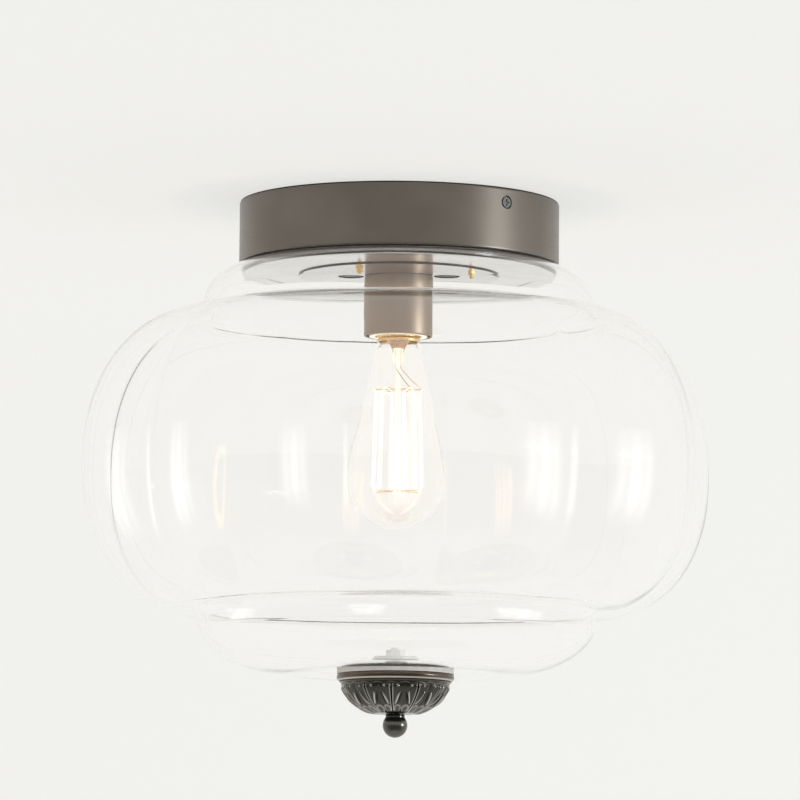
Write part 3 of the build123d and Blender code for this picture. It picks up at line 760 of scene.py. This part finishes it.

# %% [markdown]
# Under the pan hangs the socket's cup, a small drawn shell with rounded shoulders and a thin rim. The porcelain
# body inside it ends in a narrower nose, with a dark gap between nose and rim, and holds the brass screw shell.
# The bulb's lamp warms both, and the cup wears a lighter, warmer copy of the gunmetal: painted warm light.

# %% Socket cup
cup_r, cup_low, cup_top = box_mm("socket_cup")
cup_wall, nipple_hole_r, shoulder_round, rim_round = 1.2, 5.05, 1.1, 0.45
cup_in, cup_roof = cup_r - cup_wall, cup_top - cup_wall
cup = chain(
    [
        (nipple_hole_r, cup_top),
        (cup_r, cup_top),
        (cup_r, cup_low),
        (cup_in, cup_low),
        (cup_in, cup_roof),
        (nipple_hole_r, cup_roof),
    ],
    closed=True,
)
round_corners(cup, [(cup_r, cup_top)], offset=shoulder_round, segments=5)
round_corners(cup, [(cup_r, cup_low), (cup_in, cup_low)], offset=rim_round, segments=4)
spin(cup, steps=128)
# Painted light: the cup takes the lighter, warmer copy of the gunmetal.
piece("socket_cup_shell", cup, painted_warm_gunmetal, "base", "gunmetal", "socket_cup")

# %% Porcelain body
porcelain_r, porcelain_low, porcelain_top = box_mm("socket_porcelain")
shell_r, _, shell_top = box_mm("screw_shell")
bore_r, hub_r, roof_z, nose_r = shell_r + 0.05, 9.0, porcelain_top - 5.6, 17.9
step_top, step_low, nose_low = porcelain_low + 5.0, porcelain_low + 4.0, porcelain_low - 0.5
wire_hole_r, nose_round = 3.0, 0.6
body = chain(
    [
        (nipple_hole_r, porcelain_top),
        (hub_r, porcelain_top),
        (hub_r, roof_z),
        (porcelain_r, roof_z),
        (porcelain_r, step_top),
        (nose_r, step_low),
        (nose_r, nose_low),
        (bore_r, nose_low),
        (bore_r, shell_top),
        (wire_hole_r, shell_top),
        (wire_hole_r, roof_z),
        (nipple_hole_r, roof_z),
    ],
    closed=True,
)
round_corners(body, [(nose_r, nose_low), (bore_r, nose_low)], offset=nose_round, segments=4)
spin(body, steps=96)
piece("porcelain_body", body, porcelain, "base", "porcelain", "socket_porcelain")

# %% [markdown]
# ## Bulb
#
# The pear-shaped bulb is blown thin. Its cap has a rolled screw thread: the cap is spun plain, then each
# point moves in or out with its height and its angle together, which makes the wave climb as a thread does.

# %% Bulb envelope
cap_r, cap_low, cap_top = box_mm("bulb_base")
bulb_r, bulb_low, bulb_top = box_mm("bulb_glass")
throat_r, pear_neck_r, pear_waist_r = 12.5, 14.6, 22.4
seal_z, neck_z, waist_z, belly_z = cap_low - 0.3, cap_low - 5.0, cap_low - 45.0, bulb_low + bulb_r
neck_slope, pear_steps, belly_steps, bulb_wall, throat_round = -0.1, 14, 24, 0.35, 1.2


def swell(start, end, slope_start, slope_end, count):
    """Smooth run of points between two (radius, height) points, without start; slopes are radius per height."""
    points = []
    fall = end[1] - start[1]
    for k in range(1, count + 1):
        s = k / count
        r = (2 * s**3 - 3 * s**2 + 1) * start[0] + (s**3 - 2 * s**2 + s) * fall * slope_start
        r += (3 * s**2 - 2 * s**3) * end[0] + (s**3 - s**2) * fall * slope_end
        points.append((r, start[1] + fall * s))
    return points


waist_slope = (bulb_r - pear_neck_r) / (belly_z - neck_z)
envelope = [(throat_r, bulb_top), (throat_r, seal_z), (pear_neck_r, neck_z)]
envelope += swell((pear_neck_r, neck_z), (pear_waist_r, waist_z), neck_slope, waist_slope, pear_steps)
envelope += swell((pear_waist_r, waist_z), (bulb_r, belly_z), waist_slope, 0, pear_steps)
for k in range(1, belly_steps + 1):
    t = math.radians(90 * k / belly_steps)
    envelope.append((bulb_r * math.cos(t) if k < belly_steps else 0.0, belly_z - bulb_r * math.sin(t)))
pear = chain(envelope)
round_corners(pear, [(throat_r, seal_z), (pear_neck_r, neck_z)], offset=throat_round, segments=4)
spin(pear, steps=128)
bmesh.ops.solidify(pear, geom=pear.faces[:], thickness=bulb_wall * mm)
bmesh.ops.recalc_face_normals(pear, faces=pear.faces)
piece("bulb_envelope", pear, bulb_glass, "bulb", "bulb_glass", "bulb_glass")

# %% Bulb cap
thread_depth, thread_pitch, cap_wall, level_step = 0.7, 3.6, 0.4, 0.3
thread_start, run_in, run_out, outer_slack = 1.2, 1.5, 2.0, 0.1
cap_in, cap_roof = cap_r - cap_wall - thread_depth, cap_top - cap_wall
levels = [cap_low + level_step * k for k in range(int((cap_top - cap_low) / level_step))]
cap = chain(
    [(cap_r, z) for z in levels]
    + [(cap_r, cap_top), (0, cap_top), (0, cap_roof), (cap_in, cap_roof)]
    + [(cap_in, z) for z in reversed(levels[:-3:6])],
    closed=True,
)
spin(cap, steps=96)
for point in cap.verts:
    r, z = point.co.xy.length / mm, point.co.z / mm
    if r > cap_r - outer_slack:
        fade = min(1.0, max(0.0, (z - cap_low - thread_start) / run_in), max(0.0, (cap_top - z) / run_out))
        climb = math.cos(math.tau * z / thread_pitch - math.atan2(point.co.y, point.co.x))
        point.co.xy *= (cap_r - fade * thread_depth * (0.5 - 0.5 * climb)) / r
piece("bulb_screw_cap", cap, brass, "bulb", "brass", "bulb_base")

# %% [markdown]
# The filament is a thin wire wound into a long fine coil and strung up and down between two rows of hooks. The
# strands hang upright side by side, and each one bends over to a hook at either end. The coil winds round the
# upright part. The wire glows, and a small warm lamp in the middle of the cage gives its light to the socket.
# Only the wire is seen: rays of the eye pass the lamp by.

# %% Filament
hook_count, hook_top_r, hook_low_r, hook_in = 6, 14.5, 16.0, 0.35
bend_in, bend_run, strand_r = 0.6, 2.5, 0.2
cage_low, cage_top = box_mm("filament")[1:]
hook_low_z, hook_top_z = cage_low + hook_in, cage_top - hook_in


def spot(r, part, z):
    """Point at a radius, a part of a turn in hook spacings and a height, in millimetres."""
    angle = math.tau * part / hook_count
    return Vector((r * math.cos(angle), r * math.sin(angle), z))


hooks = []
for k in range(hook_count):
    hooks += [spot(hook_top_r, k, hook_top_z), spot(hook_low_r, k + 0.5, hook_low_z)]


def wire_piece(name, runs, thickness, finish, slot, *replaced):
    """Round wire along runs of points in millimetres, as a mesh that rides on the bulb."""
    wire = bpy.data.curves.new(name, "CURVE")
    wire.dimensions = "3D"
    wire.bevel_depth = thickness * mm
    wire.bevel_resolution = 1
    for run in runs:
        strand = wire.splines.new("POLY")
        strand.points.add(len(run) - 1)
        for point, place in zip(strand.points, run):
            point.co = (*(place * mm), 1)
    strung = bpy.data.objects.new(name, wire)
    scene.collection.objects.link(strung)
    bpy.context.view_layer.update()
    evaluated = strung.evaluated_get(bpy.context.evaluated_depsgraph_get())
    made = bmesh.new()
    made.from_mesh(bpy.data.meshes.new_from_object(evaluated))
    bpy.data.objects.remove(strung)
    piece(name, made, finish, "bulb", slot, *replaced)


def coil(start, end, radius=0.75, pitch=1.25, per_turn=8):
    """Points of a fine coil that runs from start to end and narrows at both."""
    run = end - start
    aside = run.normalized().orthogonal().normalized()
    beside = run.normalized().cross(aside)
    count = int(run.length / pitch * per_turn)
    points = []
    for k in range(count + 1):
        turn = math.tau * k / per_turn
        reach = radius * min(1.0, k / per_turn, (count - k) / per_turn)
        points.append(start + run * (k / count) + (aside * math.cos(turn) + beside * math.sin(turn)) * reach)
    return points


glow, _, shader = new_finish("filament_glow", (0.9, 0.5, 0.2), 0.0, 0.5)
tune(shader, Emission_Color=(1, 0.94, 0.76, 1), Emission_Strength=1.7)
strands = []
for k, (start, end) in enumerate(zip(hooks, hooks[1:])):
    upper = spot(hook_top_r - bend_in, k / 2 + 0.25, hook_top_z - bend_run)
    lower = spot(hook_low_r - bend_in, k / 2 + 0.25, hook_low_z + bend_run)
    first, last = (upper, lower) if start.z > end.z else (lower, upper)
    strands.append([start] + coil(first, last) + [end])
wire_piece("filament_coil", strands, strand_r, glow, "filament_wire", "filament")

# %% [markdown]
# The strands hang from a glass stem: a trumpet that is sealed to the neck, pressed flat where the two feed
# wires come through, and drawn out into a rod. The stem is spun like the rest, and then the pressed part is
# squeezed in one direction only.

# %% Stem and feed wires
flare_r, trumpet_r, throat_in, press_r, foot_r = 9.5, 5.6, 4.0, 3.4, 3.2
rod_top_r, rod_r, knob_r = 1.2, 1.1, 2.4
trumpet_z, throat_z, press_z, press_low = cap_low - 1.0, cap_low - 4.0, cap_low - 6.0, cap_low - 12.0
taper, stem_round, press_reach, press_share = 3.0, 1.0, 3.4, 0.6
rod_low, stem_top = box_mm("bulb_stem")[1:]
stem = chain(
    [
        (flare_r, stem_top),
        (trumpet_r, trumpet_z),
        (throat_in, throat_z),
        (press_r, press_z),
        (foot_r, press_low),
        (rod_top_r, press_low - taper),
        (rod_r, hook_top_z + taper),
        (knob_r, hook_top_z),
        (rod_r, hook_top_z - taper),
        (rod_r, hook_low_z + taper),
        (knob_r, hook_low_z),
        (0.0, rod_low),
    ]
)
soft = [(trumpet_r, trumpet_z), (press_r, press_z), (foot_r, press_low)]
soft += [(knob_r, hook_top_z), (knob_r, hook_low_z)]
round_corners(stem, soft, offset=stem_round, segments=4)
spin(stem, steps=48)
for point in stem.verts:
    pressed = math.exp(-((point.co.z / mm - (press_z + press_low) / 2) / press_reach) ** 4)
    point.co.y *= 1 - press_share * pressed
piece("bulb_stem_glass", stem, stem_glass, "bulb", "bulb_glass", "bulb_stem")

feed_r, feed_sag, seal_aside, exit_aside, seal_rise, exit_drop = 0.3, 3, 1.6, 1.5, 2, 4
feeds = []
for side, hook in ((1, hooks[0]), (-1, hooks[-2])):
    way = [Vector((side * seal_aside, 0, press_z + seal_rise))]
    way += [Vector((side * exit_aside, 0, press_low - exit_drop))]
    way += [way[-1].lerp(hook, s) + Vector((0, 0, -feed_sag * s * (1 - s))) for s in (0.2, 0.5, 0.8)] + [hook]
    feeds.append(way)
wire_piece("feed_wires", feeds, feed_r, hook_wire, "filament_wire")

# %% Light of the filament
lamp = bpy.data.lights.new("filament_light", "POINT")
lamp.energy = 0.22
lamp.color = (1, 0.82, 0.58)
lamp.shadow_soft_size = 0.012
inner_light = bpy.data.objects.new("filament_light", lamp)
scene.collection.objects.link(inner_light)
inner_light.location = (0, 0, (hook_top_z + hook_low_z) / 2 * mm)
inner_light.visible_camera = inner_light.visible_glossy = inner_light.visible_transmission = False
print(f"filament of {len(strands)} strands")

# %% [markdown]
# ## Finial
#
# The finial is a cast cup with a half-round rim and a wreath of leaves, and a ball nut under it. The bowl is
# spun with many rings and then pushed in and out by a formula: each of twelve leaves has a split middle rib, a
# pair of fingers that lean outwards and a curl on either side of its foot, and a wavy line with beads runs over
# them. The leaves are alike, so each place on a leaf is worked out once. The push of the fine lines is kept on
# the points, and the finish is nearly black in their hollows and pale on their ridges: partly the patina and
# wear of an aged casting, partly painted shade in the hollows and painted highlights on the ridges. A band low
# on the rim's outer side is painted pale: a painted reflection of the floor.

# %% Finial bowl
finial_r, bowl_foot_z, finial_top_z = box_mm("finial_cup")
rim_height, rim_over, bowl_foot_r, bowl_wall, stud_hole_r = 4.9, 1.6, 12.4, 2.6, 3.05
bowl_top_z, bowl_rim_r = finial_top_z - rim_height, finial_r - rim_over
bowl_middle = (27.4, bowl_top_z - 10.9)
leaves, leaf_steps, bowl_rings = 12, 64, 110


def bowl_arc(rim, middle, foot, count):
    """Points of the arc through three (radius, height) points, from rim to foot."""
    a, b, c = (Vector(p) for p in (rim, middle, foot))
    d = 2 * (a.x * (b.y - c.y) + b.x * (c.y - a.y) + c.x * (a.y - b.y))
    ux = a.length_squared * (b.y - c.y) + b.length_squared * (c.y - a.y) + c.length_squared * (a.y - b.y)
    uy = a.length_squared * (c.x - b.x) + b.length_squared * (a.x - c.x) + c.length_squared * (b.x - a.x)
    hub = Vector((ux / d, uy / d))
    start = math.atan2(a.y - hub.y, a.x - hub.x)
    end = math.atan2(c.y - hub.y, c.x - hub.x)
    radius = (a - hub).length
    turns = [start + (end - start) * k / count for k in range(count + 1)]
    return [(hub.x + radius * math.cos(t), hub.y + radius * math.sin(t)) for t in turns]


bowl_line = bowl_arc((bowl_rim_r, bowl_top_z), bowl_middle, (bowl_foot_r, bowl_foot_z), bowl_rings)
bowl = chain(bowl_line + [(stud_hole_r, bowl_foot_z)])
spin(bowl, steps=leaves * leaf_steps)
print(f"bowl of {len(bowl.faces)} faces before the relief")

# %% Leaf relief
finger_foot, finger_top = (0.3, 0.25), (0.68, 0.62)


def ridge(distance, width):
    """Smooth hump that is 1 on its line and fades with the distance from it."""
    return math.exp(-((distance / width) ** 2))


def finger(side, up):
    """Leaf finger: a bowed ridge from its foot to its top, with a hollow on its outer side."""
    s = (up - finger_foot[1]) / (finger_top[1] - finger_foot[1])
    if not 0 < s < 1:
        return 0.0
    line = finger_foot[0] + (finger_top[0] - finger_foot[0]) * s**0.8
    return (ridge(side - line, 0.085) - 0.5 * ridge(side - line - 0.17, 0.09)) * (4 * s * (1 - s)) ** 0.4


def leaf_relief(across, up):
    """Broad and fine height: across runs from -1 to 1 over a leaf, up from 0 at the foot to 1 at the rim."""
    side = abs(across)
    on_leaf = 1 / (1 + math.exp((up - 0.83) * 60))
    vein = 0.5 * ridge(side - 0.1, 0.055) - 0.55 * ridge(side, 0.05)
    curl = 0.3 * ridge(math.hypot((side - 0.55) / 0.34, (up - 0.11) / 0.1) - 1, 0.3)
    beads = 0.55 * ridge(side - 0.5, 0.075) * ridge(up - 0.8, 0.028)
    waves = 0.16 * ridge(up - 0.895 - 0.025 * math.cos(math.tau * across), 0.022)
    broad = on_leaf * (0.3 * (1 - side**2) - 0.2 * ridge(side - 1, 0.12)) - 0.3 * (1 - on_leaf)
    return broad, on_leaf * (vein + 0.85 * finger(side, up) + curl) + beads + waves


print("leaf height in its middle", leaf_relief(0, 0.5))

# %% Leaves on the bowl
leaf_half, leaf_angle = math.pi / leaves, math.pi / 2 + math.radians(4.6)
relief_height, relief_sink, relief_edge, foot_slack = 1.3, 0.2, 0.05, 0.01
relief_of = bowl.verts.layers.float.new("relief")
bowl.normal_update()
slant = {p: p.normal.copy() for p in bowl.verts}
worked_out = {}
for point in bowl.verts:
    z = point.co.z / mm
    up = (z - bowl_foot_z) / (bowl_top_z - bowl_foot_z)
    if point.co.xy.length / mm < bowl_foot_r - foot_slack:
        continue
    angle = math.atan2(point.co.y, point.co.x) + leaf_angle
    across = ((angle + leaf_half) % (2 * leaf_half) - leaf_half) / leaf_half
    edge = max(0.0, min(1.0, up / relief_edge, (1 - up) / relief_edge))
    place = (round(abs(across), 3), round(max(0.0, up), 4))
    if place not in worked_out:
        worked_out[place] = leaf_relief(*place)
    broad, fine = worked_out[place]
    point[relief_of] = fine * edge
    point.co += slant[point] * (broad + fine - relief_sink) * edge * relief_height * mm
print(f"relief worked out at {len(worked_out)} places")

# %% Finial rim
rim_depth, rim_rise, arc_step, arc_points, reflection_band_low, reflection_band_top = 3.2, 1.0, 12, 16, -0.78, -0.42
rim_half = (finial_top_z + rim_rise - bowl_top_z) / 2
rim_in, round_r, round_z = bowl_rim_r - bowl_wall, finial_r - rim_depth, bowl_top_z + rim_half
half_round = [math.radians(90 - arc_step * k) for k in range(arc_points)]
rim = chain(
    [(rim_in, finial_top_z)]
    + [(round_r + rim_depth * math.cos(t), round_z + rim_half * math.sin(t)) for t in half_round]
    + [(rim_in, bowl_top_z)],
    closed=True,
)
spin(rim, steps=192)
# Painted reflection: faces in a band low on the rim's outer side take the pale bronze, a light line from the
# floor.
for face in rim.faces:
    middle = face.calc_center_median()
    in_reflection_band = reflection_band_low < (middle.z / mm - bowl_top_z - rim_half) / rim_half < reflection_band_top
    face.material_index = 2 if in_reflection_band and middle.xy.length / mm > round_r else 1
rim_mesh = bpy.data.meshes.new("rim")
rim.to_mesh(rim_mesh)
rim.free()
bowl.from_mesh(rim_mesh)
bpy.data.meshes.remove(rim_mesh)
print(f"bowl and rim of {len(bowl.faces)} faces")

# %% Bronze
rim_bronze = satin_metal("rim_bronze", (0.11, 0.088, 0.074), (0.145, 0.118, 0.098), 0.27)
# Painted reflection: the pale bronze of the band low on the rim.
rim_reflection_bronze = satin_metal("rim_reflection_bronze", (0.42, 0.37, 0.32), (0.55, 0.5, 0.44), 0.3)
ball_bronze = satin_metal("ball_bronze", (0.1, 0.097, 0.085), (0.135, 0.13, 0.114), 0.23)
bronze, tree, shader = new_finish("bronze", (0.1, 0.092, 0.085), 1.0, 0.2)
relief = add(tree, "Attribute")
relief.attribute_name = "relief"
level = map_range(tree, relief.outputs["Fac"], -0.5, 0.6)
# Painted shade and highlight: near black in the hollows and pale on the ridges, partly patina and wear.
patina_and_painted_light = colours(tree, level, (0.014, 0.013, 0.012), (0.55, 0.53, 0.49), 0, 1)
patina_and_painted_light.node.color_ramp.elements.new(0.5).color = (0.075, 0.074, 0.063, 1)
tune(shader, Base_Color=patina_and_painted_light, Roughness=spread(tree, noise_over(tree, scale=130), 0.13, 0.26))
finial = piece("finial_leaf_cup", bowl, bronze, "shade", "bronze", "finial_cup", crisp=180)
finial.data.materials.append(rim_bronze)
finial.data.materials.append(rim_reflection_bronze)

# %% [markdown]
# The ball is painted nearly black where it meets the cup: painted shade in the narrow neck, found by the
# height on Object coordinates.

# %% Ball with painted shade at its neck
ball_low, ball_top = box_mm("finial_ball")[1:]
neck_low, neck_high = ball_low + 12.0, ball_low + 13.2
tree = ball_bronze.node_tree
base_colour = tree.nodes["Principled BSDF"].inputs["Base Color"]
height = axes(tree, source(tree, "TexCoord", "Object"))["Z"]
# Painted shade: nearly black where the ball meets the cup.
narrow = map_range(tree, height, neck_low * mm, neck_high * mm)
feed(base_colour, blend(tree, narrow, base_colour.links[0].from_socket, (0.012, 0.012, 0.011, 1)))
print(f"ball {ball_low:.1f} to {ball_top:.1f} mm")

# %% [markdown]
# ## CAD nodes that stay
#
# Small and hidden parts keep their CAD meshes, which already have the right shape. Each gets the finish of
# the metal or rubber that it is made of; the stud, nut and washer under the glass are painted near white, a
# painted reflection of the white room on their plating.

# %% Finishes on CAD nodes
kept = {
    pale_zinc: ["mounting_bar", "nipple", "nipple_nuts", "retaining_ring"],
    white_reflection_zinc: ["finial_stud", "inner_washer", "finial_nut"],
    bright_zinc: ["ceiling_pan"],
    plate_zinc: ["socket_plate"],
    brass: ["ground_screw", "plate_studs", "plate_nuts", "screw_shell", "centre_contact"],
    dark_insulator: ["bulb_insulator"],
    solder: ["bulb_tip"],
    hook_wire: ["bulb_supports"],
    screw_steel: ["side_screw_front", "side_screw_rear", "screw_bosses"],
    pale_rubber: ["neck_gasket", "finial_gasket", "inner_gasket"],
    ball_bronze: ["finial_ball"],
}
for finish, names in kept.items():
    for name in names:
        nodes[name].data.materials.clear()
        nodes[name].data.materials.append(finish)
print(f"{sum(len(names) for names in kept.values())} CAD nodes finished")
